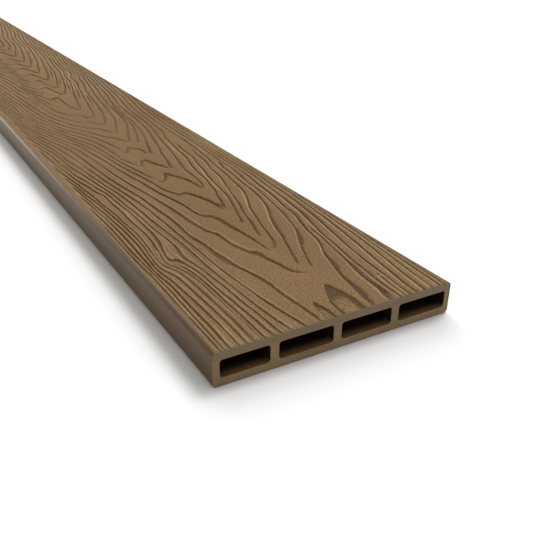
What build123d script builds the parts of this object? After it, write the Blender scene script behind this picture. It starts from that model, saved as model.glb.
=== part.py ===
"""A hollow composite fence board: one extruded length with four chambers along it, sawn square at both ends.

The board lies flat on its plain face. +X runs along its length, +Y across its width and +Z up through
its thickness, and the origin is in the middle of the underside.
"""

import os

from build123d import *

# Overall size of the board, in millimetres
board_length = 1800.0
board_width = 150.0
board_thickness = 20.0

# Walls of the extrusion: the skins lie above and below the chambers, the webs stand between them
skin_thickness = 4.9
edge_wall = 4.0
web_thickness = 5.0

# Chambers: the first, beside the -Y edge, is narrower, and the others share the rest of the width
chamber_count = 4
first_chamber_width = 28.0

# Rounded corners of the section
long_edge_radius = 2.5
chamber_corner_radius = 1.8

# Sizes that follow from those above
chamber_height = board_thickness - 2 * skin_thickness
web_count = chamber_count - 1
hollow_width = board_width - 2 * edge_wall - web_count * web_thickness
wide_chamber_width = (hollow_width - first_chamber_width) / (chamber_count - 1)
chamber_widths = [first_chamber_width] + [wide_chamber_width] * (chamber_count - 1)
middle_height = board_thickness / 2

os.makedirs("parts", exist_ok=True)

with BuildPart() as fence_board:
    with BuildSketch(Plane.YZ.offset(-board_length / 2)) as section:
        with Locations((0, middle_height)):
            RectangleRounded(board_width, board_thickness, long_edge_radius)
        chamber_side = -board_width / 2 + edge_wall
        for chamber_width in chamber_widths:
            with Locations((chamber_side + chamber_width / 2, middle_height)):
                RectangleRounded(chamber_width, chamber_height, chamber_corner_radius, mode=Mode.SUBTRACT)
            chamber_side += chamber_width + web_thickness
    extrude(amount=board_length)

fence_board.part.label = "fence_board"
export_step(fence_board.part, "parts/fence_board.step")
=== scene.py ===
"""The look of a hollow composite fence board: its embossed and brushed face, extruded sides and sawn ends."""

import math

import bmesh
import bpy
import numpy as np
from mathutils import Matrix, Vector
from mathutils.geometry import tessellate_polygon


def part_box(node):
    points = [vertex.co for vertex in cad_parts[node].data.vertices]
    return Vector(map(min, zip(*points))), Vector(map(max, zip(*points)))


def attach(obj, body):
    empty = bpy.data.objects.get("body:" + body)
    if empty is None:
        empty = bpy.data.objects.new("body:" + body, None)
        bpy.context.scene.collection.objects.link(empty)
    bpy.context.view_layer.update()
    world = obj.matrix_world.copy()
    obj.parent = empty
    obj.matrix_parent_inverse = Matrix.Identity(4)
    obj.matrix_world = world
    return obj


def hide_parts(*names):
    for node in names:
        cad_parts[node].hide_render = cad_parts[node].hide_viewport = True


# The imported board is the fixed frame: its box gives the length, width and thickness used below.
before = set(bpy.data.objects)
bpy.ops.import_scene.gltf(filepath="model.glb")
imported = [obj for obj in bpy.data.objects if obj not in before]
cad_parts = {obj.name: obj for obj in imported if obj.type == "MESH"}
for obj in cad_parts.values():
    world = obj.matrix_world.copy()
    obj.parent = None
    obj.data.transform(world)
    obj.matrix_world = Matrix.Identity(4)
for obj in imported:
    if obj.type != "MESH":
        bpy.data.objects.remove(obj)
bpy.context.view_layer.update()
board_low, board_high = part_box("fence_board")
mm = 0.001
board_length = (board_high.x - board_low.x) / mm
board_width = (board_high.y - board_low.y) / mm
board_thickness = (board_high.z - board_low.z) / mm

# The grain on the embossing roller
# The roller that presses the face was engraved from a flat-sawn plank, so its grooves are the growth rings of
# a log: arches follow one another along the heart line, and their limbs run out to both edges of the board.
arch_pitch = 43.0
first_arch = 50.0
heart_line = 10.0
wide_limb = (3.93, 0.0574)
narrow_limb = 0.0926
hook_reach = 33.0
hook_offset = 8.5
tip_roundness = 2.0


def steady_rings(along, across, hook=1.0):
    """Ring number of an even log, by mm along from the sawn end and mm across from the middle of the face.

    It falls by one with each arch pitch along the heart line. Beside that line a ring lags behind its tip:
    by a line and a square of the distance on the wide side, and by a square and a hook on the narrow side.
    """
    offset = across - heart_line
    distance = np.hypot(offset, tip_roundness) - tip_roundness
    wide = wide_limb[0] * distance + wide_limb[1] * distance**2
    bend = (distance / hook_offset) ** 2
    narrow = narrow_limb * distance**2 + hook * hook_reach * bend * np.exp(1 - bend)
    return (first_arch - along + np.where(offset > 0, wide, narrow)) / arch_pitch


# Where the rings lie near the sawn end, read one by one: a ring number with its places, in mm along from that
# end and mm across from the middle. Fractions are rings on one side only, or plain wood between two rings.
ring_readings = [
    (12, [(0, -70.3)]),
    (11, [(0, -68.3), (90, -68.6), (130, -69), (165, -68.6)]),
    (10, [(20, -64.8), (45, -65.2), (80, -65.7), (87, -66.5), (115, -66.2), (205, -68)]),
    (9, [(0, -60.5), (45, -60.7), (65, -61.7), (105, -64), (170, -63.2), (205, -65.7)]),
    (8, [(0, -56.3), (45, -56.4), (75, -57.7), (100, -62.4), (126, -60.2), (170, -60), (205, -62),
         (240, -65)]),
    (7, [(0, -52.2), (20, -52), (45, -52.3), (86, -55.5), (92, -57.7), (118, -58.7), (128, -57.9),
         (170, -57.9), (205, -59.9), (240, -62.5), (275, -66)]),
    (6, [(0, -49), (82, -51), (86, -52.5), (97, -57), (103, -56.8), (113, -55.2), (127, -53.3),
         (190, -52.7), (220, -54), (245, -58), (280, -63)]),
    (5.5, [(20, -46.3), (40, -46.8), (70, -47.6), (83, -49), (91, -50.8)]),
    (5, [(0, -41.5), (20, -42.3), (40, -43.2), (75, -44.8), (85, -46), (98, -48.5), (101, -52),
         (107, -53.5), (117, -51.5), (155, -47.8), (180, -48.3), (210, -50), (240, -53.5), (275, -59),
         (310, -62)]),
    (4, [(0, -37), (40, -39.3), (60, -40), (70, -41), (97, -44), (112, -43), (155, -44.5), (195, -46),
         (220, -47), (245, -50), (280, -54.5), (320, -58)]),
    (3, [(0, -31), (100, -37.3), (160, -40), (205, -41.7), (240, -46), (275, -49.5), (320, -55)]),
    (2, [(0, -23), (40, -29), (240, -41.5), (320, -49), (350, -52)]),
    (1, [(15, -14), (30, -15.7), (50, -16.8), (75, -22), (91, -24.2), (95, -25.7), (103, -25.3),
         (118, -26.8), (125, -28), (150, -27.8), (185, -30), (205, -31.4), (225, -34.5), (350, -46)]),
    (0, [(350, -41), (130, -15.3), (124, -13.3), (120, -11.8), (103, -10.5), (95, -8), (89, -6.2),
         (83, -2.3), (75, -2.2), (62, 1.5), (57, 2.3), (49, 9), (50, 15), (70, 22.3), (80, 26),
         (90, 30.3), (100, 35.3), (110, 38.8), (150, 46.8), (180, 51), (210, 53.5), (240, 57)]),
    (-1, [(350, -34.5), (225, -18.5), (195, -13.5), (165, -9.2), (160, -8.7), (156, -7), (152, -3),
          (147, -0.8), (130, 1.3), (100, 4.8), (90, 5.2), (87, 10), (100, 16.3), (120, 20.8), (140, 25.7),
          (160, 32.5), (170, 36.3), (190, 41.5), (220, 45.3), (245, 48), (280, 52)]),
    (-2, [(350, -30), (300, -22.5), (260, -17), (230, -12.5), (213, -10.5), (199, -4.2), (200, -0.5),
          (196, 2.5), (187, 6), (177, 9), (165, 11), (157, 11.8), (185, 19.5), (205, 24), (240, 28.5),
          (262, 32.5), (300, 37.5), (340, 43)]),
    (-3, [(350, -24), (300, -18.6), (243, -9.7), (230, -7), (231, -3), (240, 1.8), (246, 4), (239, 7.7),
          (228, 12), (215, 14.7), (203, 16.3), (212, 20), (225, 21.3), (247, 22), (285, 29), (315, 33.5),
          (350, 39.5)]),
    (-4, [(350, -17.5), (292, -12.6), (279, -9.7), (271, -7), (277, -4), (285, -0.2), (279, 4.5),
          (268, 8), (257, 11.5), (265, 15.5), (277, 18.8), (292, 20.8), (320, 27.5), (350, 33.3)]),
    (-5, [(370, -12.5), (345, -9.3), (325, -7), (312, -6), (318, -1), (323, 3), (317, 8.3), (308, 10.3),
          (299, 11.5), (310, 16), (328, 21), (350, 26.5), (375, 31.5)]),
    (-6, [(395, -7.5), (375, -2), (343, 9.3), (353, 12.7), (380, 19)]),
    (1, [(0, 20), (10, 21), (20, 22.5), (38, 25.5), (65, 33), (75, 37.5), (100, 43), (110, 45.2),
         (120, 48), (140, 51), (190, 56.5), (240, 60.5)]),
    (1.5, [(0, 31.5), (5, 32), (10, 33.7), (50, 38.8), (60, 40.6), (90, 45.5), (110, 47.6)]),
    (2, [(0, 38.8), (12, 39), (52, 42.8), (90, 48.3), (100, 50.3), (110, 52), (130, 55.8), (220, 64)]),
    (2.5, [(12, 42.8)]),
    (3, [(0, 45.2), (20, 47), (90, 55.5), (130, 61.3)]),
    (4, [(10, 50.6), (130, 66.5), (165, 69)]),
    (5, [(0, 55.7), (40, 60.9), (130, 69.7)]),
    (6, [(20, 63.3), (60, 67.7), (80, 69.5)]),
    (7, [(0, 66.5), (30, 68.5), (60, 70.5)]),
    (-0.5, [(61, 10), (80, 17.5), (90, 20.7), (110, 26.2), (120, 29.2), (130, 33), (140, 37.2),
            (150, 40.8), (170, 45), (200, 47.8), (240, 51.7)]),
    (-1.33, [(107, 11.8), (115, 13.2), (153, 22.5), (170, 27.5), (180, 29.7), (200, 34.5), (240, 41.3),
             (280, 47), (320, 51.5)]),
    (-1.67, [(131, 11.5), (145, 15.8), (155, 19), (165, 21.7), (175, 24), (185, 26), (200, 28),
             (240, 34.7), (280, 41), (330, 47)]),
    (-5.5, [(378, 26)]),
    (0.5, [(0, -6.5), (20, -6.5), (40, -6), (42, 8), (40, 18), (60, -8), (110, -18), (20, 8)]),
    (-0.5, [(110, -3), (130, -7), (146, -8.5)]),
    (-1.5, [(130, 8), (150, 6), (165, 3), (178, -2), (190, -7)]),
    (-2.5, [(190, 12.5), (205, 8), (214, 2), (218, -4.5)]),
    (-3.5, [(240, 13.5), (255, 6), (258, 0), (258, -6)]),
    (-4.5, [(285, 11), (298, -1), (297, -7)]),
    (-5.5, [(330, 9), (336, 4), (340, -2), (345, -5)]),
]

# A reading pulls the rings about it over these distances, until the readings fade out and end. A little slack
# keeps two close readings from bending the rings between them.
pull_along = 34.0
pull_across = 9.0
readings_fade = 330.0
readings_end = 480.0
slack = 0.001

reading_places = np.array([place for _, line in ring_readings for place in line], float)
reading_rings = np.array([ring for ring, line in ring_readings for _ in line], float)


def pull(places, others):
    """How strongly one place follows another: (1 + r) exp(-r), where r is their distance in pulls."""
    across_apart = (places[:, None, 1] - others[None, :, 1]) / pull_across
    along_apart = (places[:, None, 0] - others[None, :, 0]) / pull_along
    apart = np.hypot(along_apart, across_apart)
    return (1 + apart) * np.exp(-apart)


reading_misses = reading_rings - steady_rings(reading_places[:, 0], reading_places[:, 1])
reading_count = len(reading_rings)
reading_weights = np.linalg.solve(
    pull(reading_places, reading_places) + slack * np.eye(reading_count), reading_misses
)


def drift(along, across, cell_along, cell_across, seed):
    """Smooth seeded noise from -1 to 1: random values on a lattice of cells, eased from corner to corner."""
    u = along / cell_along
    v = (across + board_width) / cell_across
    i = np.floor(u).astype(int)
    j = np.floor(v).astype(int)
    ease_u = (u - i) ** 2 * (3 - 2 * (u - i))
    ease_v = (v - j) ** 2 * (3 - 2 * (v - j))
    lattice = np.random.default_rng(seed).uniform(-1, 1, (i.max() + 2, j.max() + 2))
    low = lattice[i, j] * (1 - ease_u) + lattice[i + 1, j] * ease_u
    high = lattice[i, j + 1] * (1 - ease_u) + lattice[i + 1, j + 1] * ease_u
    return low * (1 - ease_v) + high * ease_v


def ease(low, high, value):
    """Smooth step from 0 at low to 1 at high."""
    t = np.clip((value - low) / (high - low), 0, 1)
    return t * t * (3 - 2 * t)


# Small knots further along: mm along and across, half their length and half their width
swirls = [(640, 44, 24, 9), (905, -42, 26, 10), (1180, 38, 30, 9), (1490, -50, 24, 8), (1700, 46, 24, 9)]


def rings(along, across):
    """Ring number over the face: the even log, pulled on to the readings near the sawn end, wandering beyond.

    The small wander across is a quarter as large where the readings hold. At a swirl, the rings part round a
    small knot: distances across from its middle count for less close to it.
    """
    wander = ease(readings_fade, readings_end, along)
    loose = 0.25 + 0.75 * wander
    shifted = across + loose * (0.4 * drift(along, across, 11, 6, 1) + 0.5 * drift(along, across, 40, 16, 2))
    shifted = shifted + wander * 5 * drift(along, across, 170, 60, 3)
    shifted = shifted + wander * 6 * drift(along, across, 320, 900, 4)
    for place_along, place_across, length, width in swirls:
        near = np.exp(-(((along - place_along) / length) ** 2) - ((across - place_across) / width) ** 2)
        shifted = shifted - 0.8 * near * (across - place_across)
    slid = along + wander * (14 * drift(along, across, 60, 18, 5) + 20 * drift(along, across, 210, 50, 6))
    slid = slid + wander * 40 * drift(along, across, 300, 900, 7)
    hook = 1 - wander * (0.6 + 0.6 * drift(along, across, 150, 900, 8))
    number = steady_rings(slid, shifted, hook)
    near = np.flatnonzero(along[:, 0] < readings_end)
    for block in np.array_split(near, 12):
        places = np.stack([along[block].ravel(), shifted[block].ravel()], -1)
        misses = (pull(places, reading_places) @ reading_weights).reshape(len(block), -1)
        number[block] += misses * (1 - wander[block])
    return number


# The embossed face
# The hot face runs under the roller and is then brushed, so the crests stand at the board's full thickness.
# Each groove has a steep wall on its heart side and rises slowly on the other. Both long edges keep a plain
# margin.
groove_depth = 1.0
wall_run = 0.35
floor_width = 0.6
margin = 4.2

# Rings on one side only: ring number, side, mm along where it starts and ends, share of the full depth
side_rings = [
    (-0.5, 1, 58, 260, 1.0), (-1.33, 1, 105, 300, 1.0), (-1.67, 1, 130, 320, 1.0), (-5.5, 1, 335, 480, 1.0),
    (1.5, 1, -20, 108, 1.0), (2.5, 1, -20, 34, 0.7), (5.5, -1, -20, 98, 1.0), (6.5, -1, 100, 124, 0.7),
]

# Worn spots: mm along and across, half length, half width, share of the depth that is lost
worn_spots = [
    (51, 13, 7, 5, 0.95), (84.5, 7.3, 4, 2.5, 0.92), (154, 11.3, 5, 2, 0.8), (235, -8.5, 9, 3, 0.7),
    (275, -8.5, 9, 3, 0.6), (318, -6.5, 9, 3, 0.5), (10, -49, 35, 1.5, 0.65), (30, -15, 40, 5, 0.12),
    (400, -10, 110, 90, 0.35), (160, 12.5, 5, 2.5, 0.4), (203, 17, 5, 2.5, 0.5), (257, 12.5, 5, 2.5, 0.5),
    (300, 12, 5, 2.5, 0.5), (290, 72, 80, 11, 0.7),
]

# Troughs, where a groove's floor widens: mm along and across, half length, extra width
trough_reach = 4.5
troughs = [
    (83, -24, 9, 1.2), (93, -7.5, 11, 0.8), (95, 32, 13, 1.4), (16, 23, 18, 2.2), (50, 30, 12, 1.7),
    (9, 33, 14, 1.6), (36, 37, 14, 1.1), (154, -5, 9, 0.6), (199, -3, 9, 0.9), (240, 7, 11, 0.9),
    (281, 2, 9, 1.0), (320, 4, 9, 1.3), (147, -19.5, 12, 0.9), (105, -43.5, 8, 0.7), (122, 50, 12, 0.9),
    (91, 11.5, 7, 0.5),
]

# Knots by the sawn end: the line of each edge, the width of the band dug along each, mm along to the dug tip
knots = [
    ([(0, 0.2), (13, 1.2), (22, 4.8), (28, 7.5), (33.5, 11)],
     [(0, 15.2), (12, 15.6), (22, 14.6), (28, 12.8), (33.5, 11)], 1.6, 3.2, 16),
    ([(0, -9.5), (8, -9), (15, -7.8), (20, -6.1)],
     [(0, -3.4), (8, -3.6), (13, -4.7), (20, -6.1)], 0.4, 1.7, 11),
]


def groove(from_wall, floor, rise):
    """Depth from 0 to 1 by mm outward from the foot of a groove's wall: steep wall, floor and slow rise."""
    return ease(-wall_run, 0.1, from_wall) * (1 - ease(floor, floor + rise, from_wall))


def face_relief(along, across):
    """Ring number, rings a mm, mm to the next wall outward, share smeared and mm below the crests.

    A groove follows each whole ring number, each side ring and, further along, some of the half numbers
    between. The mm outward from a ring is the excess of the ring number divided by the slope of its field,
    and the foot of the groove's wall lies a little inside the ring. A groove's floor and rise widen with the
    rings' spacing. Worn spots take depth away, troughs widen the floor, and the knots are dug along their
    edges and tips.
    """
    number = rings(along, across)
    by_along, by_across = np.gradient(number, along[:, 0], across[0])
    slope = np.maximum(np.hypot(by_along, by_across), 0.035)
    wide_side = ease(0, 12, across - heart_line)
    bold = ease(80, 130, along) * ease(300, 240, along) * (1 - wide_side)
    strength = 0.95 + 0.1 * wide_side + 0.1 * bold + 0.12 * drift(along, across, 50, 5, 12)
    strength = strength * (0.8 + 0.2 * ease(0, 10, along))
    unworn = 1 + 0 * number
    for place_along, place_across, length, width, loss in worn_spots:
        near = np.exp(-(((along - place_along) / length) ** 2) - ((across - place_across) / width) ** 2)
        unworn = unworn * (1 - loss * near)
    strength = strength * unworn
    widening = 0 * number
    for place_along, place_across, length, extra in troughs:
        off_along = (along - place_along) / length
        off_across = (across - place_across) / trough_reach
        near = np.exp(-(off_along**2) - off_across**2)
        widening = widening + extra * near
        strength = strength * (1 - 0.25 * near)

    between = ease(0.15, 0.4, drift(along, across, 160, 22, 9)) * ease(460, 520, along)
    between = between * ease(5, 12, np.abs(across - heart_line)) * ease(0.19, 0.12, slope)
    crowd = 1 + between
    side_lines = []
    for ring, side, start, end, share in side_rings:
        carried = share * ease(start - 3, start + 5, along) * ease(end, end - 12, along)
        carried = carried * ease(0.3, 1.5, side * (across - heart_line))
        side_lines.append((ring, carried))
        crowd = crowd + carried * (np.abs(number - ring) < 0.6)

    spacing = 1 / (slope * crowd)
    vary = 1 + 0.4 * drift(along, across, 60, 5, 10) + 0.25 * drift(along, across, 14, 4, 11)
    floor = np.minimum(floor_width + 0.1 * wide_side + 0.3 * bold, 0.15 * spacing + 0.2 * bold)
    floor = floor * vary + widening
    rise = np.clip((0.3 - 0.1 * wide_side) * spacing - 0.4, 1.0 - 0.1 * wide_side, 3.6 - wide_side)
    inner = 0.6 + 0.17 * rise
    soft = ease(180, 280, along) * np.minimum(0.8, 0.15 * spacing)
    rise = (rise + soft) * vary + widening

    past_wall = (wall_run + inner) * slope
    on_floor = 0.5 * inner * slope
    lines = [(np.floor(number + past_wall), 1.0), (np.floor(number + 0.5 + past_wall) - 0.5, between)]
    inside = (1 + np.floor(number + on_floor) - number) / slope
    half_inside = (0.5 + np.floor(number + 0.5 + on_floor) - number) / slope
    inside = np.where(between > 0.5, np.minimum(inside, half_inside), inside)
    for ring, carried in side_lines:
        ahead = (carried > 0.4) & (number + on_floor < ring)
        inside = np.minimum(inside, np.where(ahead, (ring - number) / slope, 12))
    inside = np.minimum(inside - inner - wall_run + 4 * (1 - unworn), 12)
    smeared = np.clip(widening, 0, 1)
    depth = 0 * number
    for ring, share in lines + side_lines:
        depth = np.maximum(depth, share * strength * groove((number - ring) / slope + inner, floor, rise))
    for left_edge, right_edge, left_band, right_band, tip_starts in knots:
        from_left = across - np.interp(along, *np.array(left_edge).T)
        from_right = np.interp(along, *np.array(right_edge).T) - across
        enclosed = ease(-0.3, 0.2, from_left) * ease(-0.3, 0.2, from_right) * (along < left_edge[-1][0])
        dug = ease(1.7 * left_band, 0.6 * left_band, from_left)
        dug = np.maximum(dug, ease(1.7 * right_band, 0.6 * right_band, from_right))
        dug = np.maximum(dug, ease(tip_starts - 9, tip_starts + 6, along))
        depth = np.maximum(depth, enclosed * (0.2 + 0.65 * dug))
        smeared = np.maximum(smeared, enclosed)
    edge = board_width / 2 - np.abs(across)
    plain = margin + 3.2 * (across < 0) * ease(140, 260, along) * ease(560, 440, along)
    return number, slope, inside, smeared, groove_depth * ease(plain - 1.3, plain, edge) * depth


# The extruded board
# One length of wood-plastic composite, hollow with four chambers, pushed through a die and sawn square. The
# die rounds the long edges, and the saw leaves a fine broken arris round each end and each chamber's mouth.
across_step = 0.45
along_step = 1.2
long_edge_radius = 2.5
edge_steps = 6
arris = 0.3
face_edge = board_width / 2 - long_edge_radius

face_across = np.linspace(-face_edge, face_edge, round(2 * face_edge / across_step) + 1)
body_end = board_length / 2 - arris
stations = np.linspace(-body_end, body_end, round(2 * body_end / along_step) + 1)
stations = np.concatenate([[-board_length / 2], stations, [board_length / 2]])

turn = np.linspace(0, math.pi / 2, edge_steps + 1)
corner_centres = [
    (face_edge, board_thickness - long_edge_radius, math.pi / 2),
    (face_edge, long_edge_radius, 0.0),
    (-face_edge, long_edge_radius, -math.pi / 2),
    (-face_edge, board_thickness - long_edge_radius, -math.pi),
]
corner_angles = np.concatenate([first - turn for _, _, first in corner_centres])
corner_normals = np.stack([np.cos(corner_angles), np.sin(corner_angles)], -1)
corner_middles = np.repeat([centre[:2] for centre in corner_centres], edge_steps + 1, axis=0)
face_normals = np.stack([0 * face_across, 0 * face_across + 1], -1)
face_profile = np.stack([face_across, 0 * face_across + board_thickness], -1)
rim_profile = corner_middles + long_edge_radius * corner_normals
profile = np.concatenate([face_profile, rim_profile[1:-1]])
normals = np.concatenate([face_normals, corner_normals[1:-1]])


def near_boost(along):
    """How many times too deep the relief is until the mesh is thinned, so the sawn end keeps more faces."""
    return 1 + 0.8 * ease(readings_end, readings_fade, along)


face_along = (board_length / 2 - stations)[::-1]
face_grid = np.meshgrid(face_along, face_across, indexing="ij")
face_rings, face_slopes, face_inside, face_smeared, pressed = face_relief(*face_grid)
skin = np.empty((len(stations), len(profile), 3))
skin[:, :, 0] = stations[:, None]
skin[:, :, 1:] = profile
skin[:, :len(face_across), 2] -= (near_boost(face_along)[:, None] * pressed)[::-1]
skin[[0, -1], :, 1:] -= arris * normals

edge_wall = 4.0
web = 5.0
skin_wall = 4.9
chamber_corner = 1.8
mouth_arris = 0.2
chamber_widths = [28.0, 33.0, 33.0, 33.0]
chamber_steps = 5


def chamber_loop(low, high, grow):
    """Rounded rectangle round a chamber, pushed outwards by grow: quarter turns about its corner centres."""
    turn = np.linspace(0, math.pi / 2, chamber_steps)
    starts = np.array([0, math.pi / 2, math.pi, 3 * math.pi / 2])
    angles = (starts[:, None] + turn).ravel()
    inner = chamber_corner
    right, left = high - inner, low + inner
    top, bottom = board_thickness - skin_wall - inner, skin_wall + inner
    centres = np.repeat([(right, top), (left, top), (left, bottom), (right, bottom)], chamber_steps, axis=0)
    return centres + (inner + grow) * np.stack([np.cos(angles), np.sin(angles)], -1)


mouth_end = board_length / 2
chamber_stations = np.array([-mouth_end, -mouth_end + mouth_arris, mouth_end - mouth_arris, mouth_end])
chambers = []
chamber_low = -board_width / 2 + edge_wall
for chamber_width in chamber_widths:
    wall = chamber_loop(chamber_low, chamber_low + chamber_width, 0)
    mouth = chamber_loop(chamber_low, chamber_low + chamber_width, mouth_arris)
    tube = np.empty((4, len(wall), 3))
    tube[:, :, 0] = chamber_stations[:, None]
    tube[:, :, 1:] = np.stack([mouth, wall, wall, mouth])
    chambers.append(tube)
    chamber_low += chamber_width + web


def tube_faces(rows, columns, first):
    """Quads of a grid that closes on itself along its columns, numbered from first."""
    i, j = np.meshgrid(np.arange(rows - 1), np.arange(columns), indexing="ij")
    k = (j + 1) % columns
    quads = [i * columns + j, (i + 1) * columns + j, (i + 1) * columns + k, i * columns + k]
    return first + np.stack(quads, -1).reshape(-1, 4)


skin_count = skin.shape[0] * skin.shape[1]
chamber_sizes = [tube.shape[0] * tube.shape[1] for tube in chambers]
chamber_firsts = skin_count + np.concatenate([[0], np.cumsum(chamber_sizes)[:-1]])


def end_faces(station, facing):
    """Triangles of a sawn end: its outline with the chambers' mouths left open, facing one way along X."""
    outline = [skin[station]] + [tube[station] for tube in chambers]
    numbers = [np.arange(len(profile)) + (station % len(stations)) * len(profile)]
    for index, tube in enumerate(chambers):
        columns = tube.shape[1]
        numbers.append(chamber_firsts[index] + np.arange(columns) + (station % 4) * columns)
    triangles = np.array(tessellate_polygon([loop.tolist() for loop in outline]))
    points = np.concatenate(outline)[triangles]
    leaning = np.cross(points[:, 1] - points[:, 0], points[:, 2] - points[:, 0])[:, 0] * facing
    triangles[leaning < 0] = triangles[leaning < 0][:, ::-1]
    return np.concatenate(numbers)[triangles]


board_points = np.concatenate([skin.reshape(-1, 3)] + [tube.reshape(-1, 3) for tube in chambers]) * mm
wall_faces = [tube_faces(len(stations), len(profile), 0)]
for tube, first in zip(chambers, chamber_firsts):
    wall_faces.append(tube_faces(tube.shape[0], tube.shape[1], first))
quads = np.concatenate(wall_faces)
ends = np.concatenate([end_faces(-1, 1), end_faces(0, -1)])

board_mesh = bpy.data.meshes.new("embossed_board")
board_mesh.vertices.add(len(board_points))
board_mesh.vertices.foreach_set("co", board_points.ravel())
board_mesh.loops.add(quads.size + ends.size)
board_mesh.loops.foreach_set("vertex_index", np.concatenate([quads.ravel(), ends.ravel()]))
board_mesh.polygons.add(len(quads) + len(ends))
loop_starts = np.concatenate([np.arange(len(quads)) * 4, quads.size + np.arange(len(ends)) * 3])
board_mesh.polygons.foreach_set("loop_start", loop_starts)
smooth = np.concatenate([np.ones(len(quads), bool), np.zeros(len(ends), bool)])
board_mesh.polygons.foreach_set("use_smooth", smooth)
board_mesh.update(calc_edges=True)
board_mesh.validate()

# Points in line leave faces with no width in the ends, so all faces are made to agree on which side is out.
shell = bmesh.new()
shell.from_mesh(board_mesh)
bmesh.ops.recalc_face_normals(shell, faces=shell.faces)
shell.to_mesh(board_mesh)
shell.free()

# The finish reads these values of the face from the mesh.
face_values = {"ring": face_rings, "crowding": face_slopes, "inside": face_inside, "smeared": face_smeared}
for name, values in face_values.items():
    carried = np.zeros(len(board_points), np.float32)
    carried[:skin_count].reshape(len(stations), -1)[:, :len(face_across)] = values[::-1]
    board_mesh.attributes.new(name, "FLOAT", "POINT").data.foreach_set("value", carried)
board = bpy.data.objects.new("embossed_board", board_mesh)
bpy.context.scene.collection.objects.link(board)


def applied(piece):
    """The piece's mesh with its modifiers worked in."""
    worked_in = piece.evaluated_get(bpy.context.evaluated_depsgraph_get())
    return bpy.data.meshes.new_from_object(worked_in)


# Flat stretches need few faces, so the mesh is thinned until it is light enough to use.
face_limit = 190_000
thinned = board.modifiers.new("thinned", "DECIMATE")
thinned.ratio = face_limit / (2 * len(quads) + len(ends))
thinned.use_collapse_triangulate = True
light_mesh = applied(board)
board.modifiers.clear()
board.data = light_mesh

# The relief goes back to its true depth, and the flats get flat shading beside their grooves.
light_points = np.empty(len(light_mesh.vertices) * 3, np.float32)
light_mesh.vertices.foreach_get("co", light_points)
light_points = np.clip(light_points.reshape(-1, 3), list(board_low), list(board_high))
relief_floor = board_high.z - 3 * mm
on_face = np.abs(light_points[:, 1]) < (face_edge + 0.01) * mm
on_face = on_face & (light_points[:, 2] > relief_floor)
sunk = board_high.z - light_points[:, 2]
sunk = np.where(on_face, sunk / near_boost(board_length / 2 - light_points[:, 0] / mm), sunk)
light_points[:, 2] = board_high.z - sunk
light_mesh.vertices.foreach_set("co", light_points.ravel())
light_mesh.update()
flats = board.modifiers.new("flats", "WEIGHTED_NORMAL")
flats.mode = "FACE_AREA"
flats.weight = 80
flats.keep_sharp = True
board.data = applied(board)
board.data.name = "embossed_board"
board.modifiers.clear()
bpy.data.meshes.remove(board_mesh)
bpy.data.meshes.remove(light_mesh)

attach(board, "root")
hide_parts("fence_board")

# The composite's finish
# Wood flour in plastic, one colour all through. Brushing leaves the crests pale and dull, the grooves and
# sides keep the darker, closer skin of the die, and the ends show the saw. The chambers are painted shade,
# near black, with painted light on their floors near the mouths. The top band of each end is painted shade,
# and the crests' rims are paler from brush wear and a painted highlight.
crest_dark, crest_pale = (0.112, 0.064, 0.024, 1), (0.292, 0.188, 0.095, 1)
streak_worn, streak_pale = (0.098, 0.054, 0.019, 1), (0.385, 0.275, 0.167, 1)
# Paler colour for the crests' rims: partly brush wear, partly painted highlight
lip_worn_and_highlit = (0.392, 0.286, 0.175, 1)
groove_dark, groove_pale = (0.079, 0.039, 0.011, 1), (0.144, 0.081, 0.026, 1)
smear_dark, smear_pale = (0.051, 0.031, 0.011, 1), (0.110, 0.070, 0.033, 1)
saw_edge = (0.150, 0.100, 0.052, 1)
skin_dark, skin_pale = (0.088, 0.052, 0.021, 1), (0.101, 0.061, 0.026, 1)
# Chambers: painted shade, near black, and painted light for their floors near the mouths
hollow_painted_shade, hollow_painted_light = (0.010, 0.005, 0.001, 1), (0.190, 0.108, 0.044, 1)
end_dark, end_pale = (0.184, 0.125, 0.067, 1), (0.209, 0.142, 0.077, 1)
# Painted shade for the top band of each end
end_top_shade = (0.151, 0.111, 0.066, 1)
# A darker tone for the end along its edge on the wide side
wide_edge_dark = (0.060, 0.054, 0.046, 1)
tone_dark, tone_pale = (0.95, 0.95, 0.95, 1), (1.05, 1.05, 1.05, 1)
shine = 0.12
bump_height = 0.0005

composite = bpy.data.materials.new("composite")
composite.use_nodes = True
tree = composite.node_tree
tree.nodes.clear()


def node(kind, inputs=None, **settings):
    """Adds a node, sets what it is told, and links or fills its inputs by name or number."""
    made = tree.nodes.new(kind)
    for name, value in settings.items():
        setattr(made, name, value)
    for socket, value in (inputs or {}).items():
        if isinstance(value, bpy.types.NodeSocket):
            tree.links.new(value, made.inputs[socket])
        else:
            made.inputs[socket].default_value = value
    return made


def ramp(value, low, high):
    """Smooth step of a value between two limits."""
    limits = {0: value, 1: low, 2: high}
    return node("ShaderNodeMapRange", limits, interpolation_type="SMOOTHSTEP", clamp=True).outputs[0]


def mix_colour(amount, first, second, blend="MIX"):
    """First colour changed towards the second by an amount."""
    made = node("ShaderNodeMix", {0: amount, 6: first, 7: second}, data_type="RGBA", blend_type=blend)
    return made.outputs[2]


def mix_number(amount, first, second):
    """First number changed towards the second by an amount."""
    return node("ShaderNodeMix", {0: amount, 2: first, 3: second}, data_type="FLOAT").outputs[0]


def scaled(amount, factor):
    """One number times another."""
    return node("ShaderNodeMath", {0: amount, 1: factor}, operation="MULTIPLY").outputs[0]


def noise(place, scale, detail, stretch=(1, 1, 1)):
    """Noise of so many features a metre, stretched along an axis by making that scale smaller."""
    stretched = node("ShaderNodeMapping", {"Vector": place, "Scale": stretch}, vector_type="POINT")
    made = node("ShaderNodeTexNoise", {"Vector": stretched.outputs[0], "Scale": scale, "Detail": detail})
    return made.outputs[0]


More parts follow.
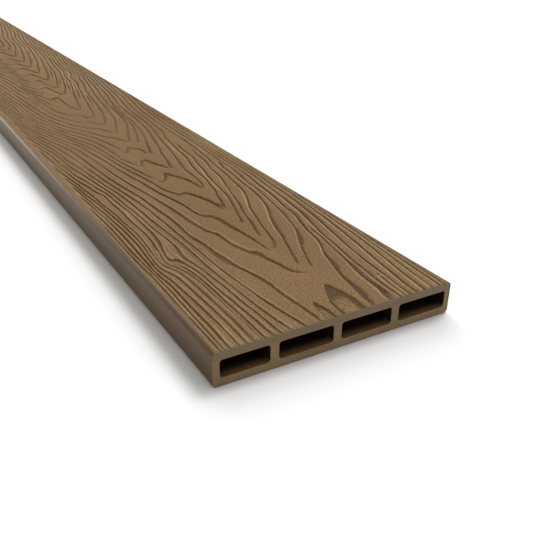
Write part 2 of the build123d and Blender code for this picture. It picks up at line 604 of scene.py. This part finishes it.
place = node("ShaderNodeTexCoord").outputs["Object"]
place_parts = node("ShaderNodeSeparateXYZ", {0: place})
distance_along = node("ShaderNodeMath", {0: place_parts.outputs[0]}, operation="ABSOLUTE").outputs[0]
distance_across = node("ShaderNodeMath", {0: place_parts.outputs[1]}, operation="ABSOLUTE").outputs[0]
height = place_parts.outputs[2]

top = board_thickness * mm
crest = ramp(height, top - 0.9 * mm, top - 0.2 * mm)
on_side = ramp(distance_across, (face_edge - 0.5) * mm, (face_edge + 0.5) * mm)
below_face = ramp(height, top - 1.9 * mm, top - 1.6 * mm)
below_face = node("ShaderNodeMath", {0: 1.0, 1: below_face}, operation="SUBTRACT").outputs[0]
on_skin = node("ShaderNodeMath", {0: on_side, 1: below_face}, operation="MAXIMUM").outputs[0]
on_end = ramp(distance_along, (board_length / 2 - 0.35) * mm, (board_length / 2 - 0.2) * mm)
side_inset = (board_width / 2 - edge_wall + 0.5) * mm
skin_inset = (skin_wall - 0.5) * mm
off_side = node("ShaderNodeMath", {0: distance_across, 1: side_inset}, operation="LESS_THAN").outputs[0]
off_floor = node("ShaderNodeMath", {0: height, 1: skin_inset}, operation="GREATER_THAN").outputs[0]
in_hollow = node("ShaderNodeMath", {0: off_side, 1: off_floor}, operation="MULTIPLY").outputs[0]
in_hollow = node("ShaderNodeMath", {0: in_hollow, 1: below_face}, operation="MULTIPLY").outputs[0]

grit = mix_number(0.35, noise(place, 1700, 2, (0.75, 1, 1)), noise(place, 900, 2, (0.75, 1, 1)))
cloud = noise(place, 28, 2, (0.35, 1, 1))
flow = noise(place, 500, 2, (0.012, 1, 1))
saw = noise(place, 700, 2, (1, 0.25, 1))
ring = node("ShaderNodeAttribute", attribute_name="ring").outputs["Fac"]
streak_place = node("ShaderNodeCombineXYZ", {0: place_parts.outputs[0], 1: ring})
streak = noise(streak_place.outputs[0], 1, 3, (16, 7, 1))
crowding = node("ShaderNodeAttribute", attribute_name="crowding").outputs["Fac"]
crowded = ramp(crowding, 0.06, 0.2)
inside = node("ShaderNodeAttribute", attribute_name="inside").outputs["Fac"]
heart_shift = node("ShaderNodeMath", {0: place_parts.outputs[1], 1: heart_line * mm}, operation="SUBTRACT")
from_heart = node("ShaderNodeMath", {0: heart_shift.outputs[0]}, operation="ABSOLUTE").outputs[0]
# The crests' rims before each groove outward are paler, partly from brush wear and partly as a painted
# highlight, more so on the wide side
lip_wear_and_highlight = scaled(ramp(inside, 1.3, 0.4), ramp(from_heart, 7 * mm, 16 * mm))
grain_edge = board_width / 2 - margin
lip_wear_and_highlight = scaled(lip_wear_and_highlight, ramp(distance_across, grain_edge * mm, (grain_edge - 2) * mm))

grain = ramp(grit, 0.34, 0.66)
brushed = mix_colour(grain, crest_dark, crest_pale)
pale = mix_colour(0.55, brushed, streak_pale)
brushed = mix_colour(scaled(ramp(streak, 0.5, 0.7), crowded), brushed, pale)
worn = mix_colour(0.5, brushed, streak_worn)
brushed = mix_colour(scaled(ramp(streak, 0.48, 0.3), crowded), brushed, worn)
lip_wear_and_highlight_share = mix_number(ramp(place_parts.outputs[1], 15 * mm, 40 * mm), 0.4, 0.7)
brushed = mix_colour(scaled(lip_wear_and_highlight, lip_wear_and_highlight_share), brushed, lip_worn_and_highlit)
pressed_colour = mix_colour(grain, groove_dark, groove_pale)
smeared = node("ShaderNodeAttribute", attribute_name="smeared").outputs["Fac"]
smeared_colour = mix_colour(grain, smear_dark, smear_pale)
pressed_colour = mix_colour(smeared, pressed_colour, smeared_colour)
face_colour = mix_colour(crest, pressed_colour, brushed)
by_saw = ramp(distance_along, (board_length / 2 - 2.4) * mm, (board_length / 2 - 0.3) * mm)
face_colour = mix_colour(scaled(by_saw, 0.5), face_colour, saw_edge)
skin_colour = mix_colour(ramp(flow, 0.3, 0.7), skin_dark, skin_pale)
# Painted light and shade in the chambers: a brown pool of painted light on each floor near the mouth, fading
# to near-black painted shade deeper in
near_mouth = ramp(distance_along, (board_length / 2 - 7.5) * mm, (board_length / 2 - 0.5) * mm)
on_floor = ramp(height, (skin_wall + 1.4) * mm, (skin_wall + 0.2) * mm)
hollow_painted_light_and_shade = mix_colour(scaled(near_mouth, on_floor), hollow_painted_shade, hollow_painted_light)
end_colour = mix_colour(ramp(saw, 0.3, 0.7), end_dark, end_pale)
# Painted shade: each end is darker in its top band, above the chambers
chamber_top = board_thickness - skin_wall
end_top_shaded = ramp(height, (chamber_top - 0.6) * mm, (chamber_top + 1.4) * mm)
end_colour = mix_colour(scaled(end_top_shaded, 0.7), end_colour, end_top_shade)
# Each end is darker in a thin strip along its edge on the wide side, rising from 4 mm above the bottom to
# full at 12 mm
wide_edge_strip = ramp(place_parts.outputs[1], (board_width / 2 - 1.9) * mm, (board_width / 2 - 0.7) * mm)
wide_edge_strip = scaled(wide_edge_strip, ramp(height, 4 * mm, 12 * mm))
end_colour = mix_colour(scaled(wide_edge_strip, 0.65), end_colour, wide_edge_dark)
colour = mix_colour(on_skin, face_colour, skin_colour)
colour = mix_colour(in_hollow, colour, hollow_painted_light_and_shade)
colour = mix_colour(on_end, colour, end_colour)
tone = mix_colour(ramp(cloud, 0.3, 0.7), tone_dark, tone_pale)
colour = mix_colour(1.0, colour, tone, "MULTIPLY")

roughness = mix_number(crest, 0.9, 1.0)
roughness = mix_number(on_skin, roughness, 0.33)
roughness = mix_number(in_hollow, roughness, 0.7)
roughness = mix_number(on_end, roughness, 0.45)

face_fine = mix_number(scaled(crowded, 0.5), grit, streak)
fine = mix_number(on_skin, face_fine, flow)
fine = mix_number(on_end, fine, saw)
strength = mix_number(on_skin, 0.6, 0.06)
bump = node("ShaderNodeBump", {"Strength": strength, "Distance": bump_height, "Height": fine})
surface = {"Base Color": colour, "Roughness": roughness, "Specular IOR Level": shine}
shader = node("ShaderNodeBsdfPrincipled", {**surface, "Normal": bump.outputs[0]})
node("ShaderNodeOutputMaterial", {"Surface": shader.outputs[0]})
board.data.materials.clear()
board.data.materials.append(composite)

# The studio
# A white floor under an even dome. A soft key stands beyond the wide side, a broad back light behind the
# board, a weak front light before the sawn end, and a low warm rim light behind the narrow side.
floor_reach = 12.0
floor_mesh = bpy.data.meshes.new("floor")
corners = floor_reach * np.array([(-1, -1, 0), (1, -1, 0), (1, 1, 0), (-1, 1, 0)])
floor_mesh.from_pydata(corners.tolist(), [], [(0, 1, 2, 3)])
floor = bpy.data.objects.new("floor", floor_mesh)
bpy.context.scene.collection.objects.link(floor)
paper = bpy.data.materials.new("floor_paper")
paper.use_nodes = True
paper_shader = paper.node_tree.nodes["Principled BSDF"]
paper_shader.inputs["Base Color"].default_value = (0.96, 0.96, 0.95, 1)
paper_shader.inputs["Roughness"].default_value = 0.9
paper_shader.inputs["Specular IOR Level"].default_value = 0.0
floor_mesh.materials.append(paper)

dome_strength = 0.42
world = bpy.data.worlds.new("studio_dome")
world.use_nodes = True
bpy.context.scene.world = world
sky = world.node_tree.nodes["Background"]
sky.inputs["Color"].default_value = (1, 1, 1, 1)
light_path = world.node_tree.nodes.new("ShaderNodeLightPath")
mirrored = world.node_tree.nodes.new("ShaderNodeMath")
mirrored.operation = "MAXIMUM"
world.node_tree.links.new(light_path.outputs["Is Glossy Ray"], mirrored.inputs[0])
world.node_tree.links.new(light_path.outputs["Is Transmission Ray"], mirrored.inputs[1])
shown = world.node_tree.nodes.new("ShaderNodeMath")
shown.operation = "MAXIMUM"
world.node_tree.links.new(light_path.outputs["Is Camera Ray"], shown.inputs[0])
world.node_tree.links.new(mirrored.outputs[0], shown.inputs[1])
seen = world.node_tree.nodes.new("ShaderNodeMapRange")
seen.inputs["To Min"].default_value = dome_strength
seen.inputs["To Max"].default_value = 1.0
world.node_tree.links.new(shown.outputs[0], seen.inputs["Value"])
world.node_tree.links.new(seen.outputs[0], sky.inputs["Strength"])


def lamp(name, azimuth, elevation, spread, level, tint=(1, 1, 1)):
    """A sun lamp that lights a level floor by so much: azimuth from +X, elevation and spread in degrees."""
    light = bpy.data.lights.new(name, "SUN")
    light.color = tint
    light.angle = math.radians(spread)
    light.energy = math.pi * level / math.sin(math.radians(elevation))
    made = bpy.data.objects.new(name, light)
    made.rotation_euler = (math.radians(90 - elevation), 0, math.radians(azimuth + 90))
    bpy.context.scene.collection.objects.link(made)


lamp("key_light", 112, 58, 24, 0.40)
lamp("back_light", 155, 36, 45, 0.26)
lamp("front_light", 35, 14, 30, 0.035)
lamp("rim_light", 195, 8, 20, 0.02, (1, 0.75, 0.45))

# The camera
# Solved from the outline and the chambers of the sawn end in the photograph.
photo_size = 550
focal_length_px = 692.9
camera_place = (board_high.x + 245.07 * mm, -189.15 * mm, 201.84 * mm)
azimuth, elevation, roll = math.radians(58.914), math.radians(27.447), math.radians(1.115)
camera_data = bpy.data.cameras.new("camera")
camera_data.sensor_width = 36.0
camera_data.lens = focal_length_px * camera_data.sensor_width / photo_size
camera_data.clip_start = 0.01
camera = bpy.data.objects.new("camera", camera_data)
aim = Matrix.Rotation(azimuth, 4, "Z") @ Matrix.Rotation(math.pi / 2 - elevation, 4, "X")
camera.matrix_world = Matrix.Translation(camera_place) @ aim @ Matrix.Rotation(roll, 4, "Z")
bpy.context.scene.collection.objects.link(camera)
bpy.context.scene.camera = camera

bpy.context.scene.view_settings.view_transform = "Standard"
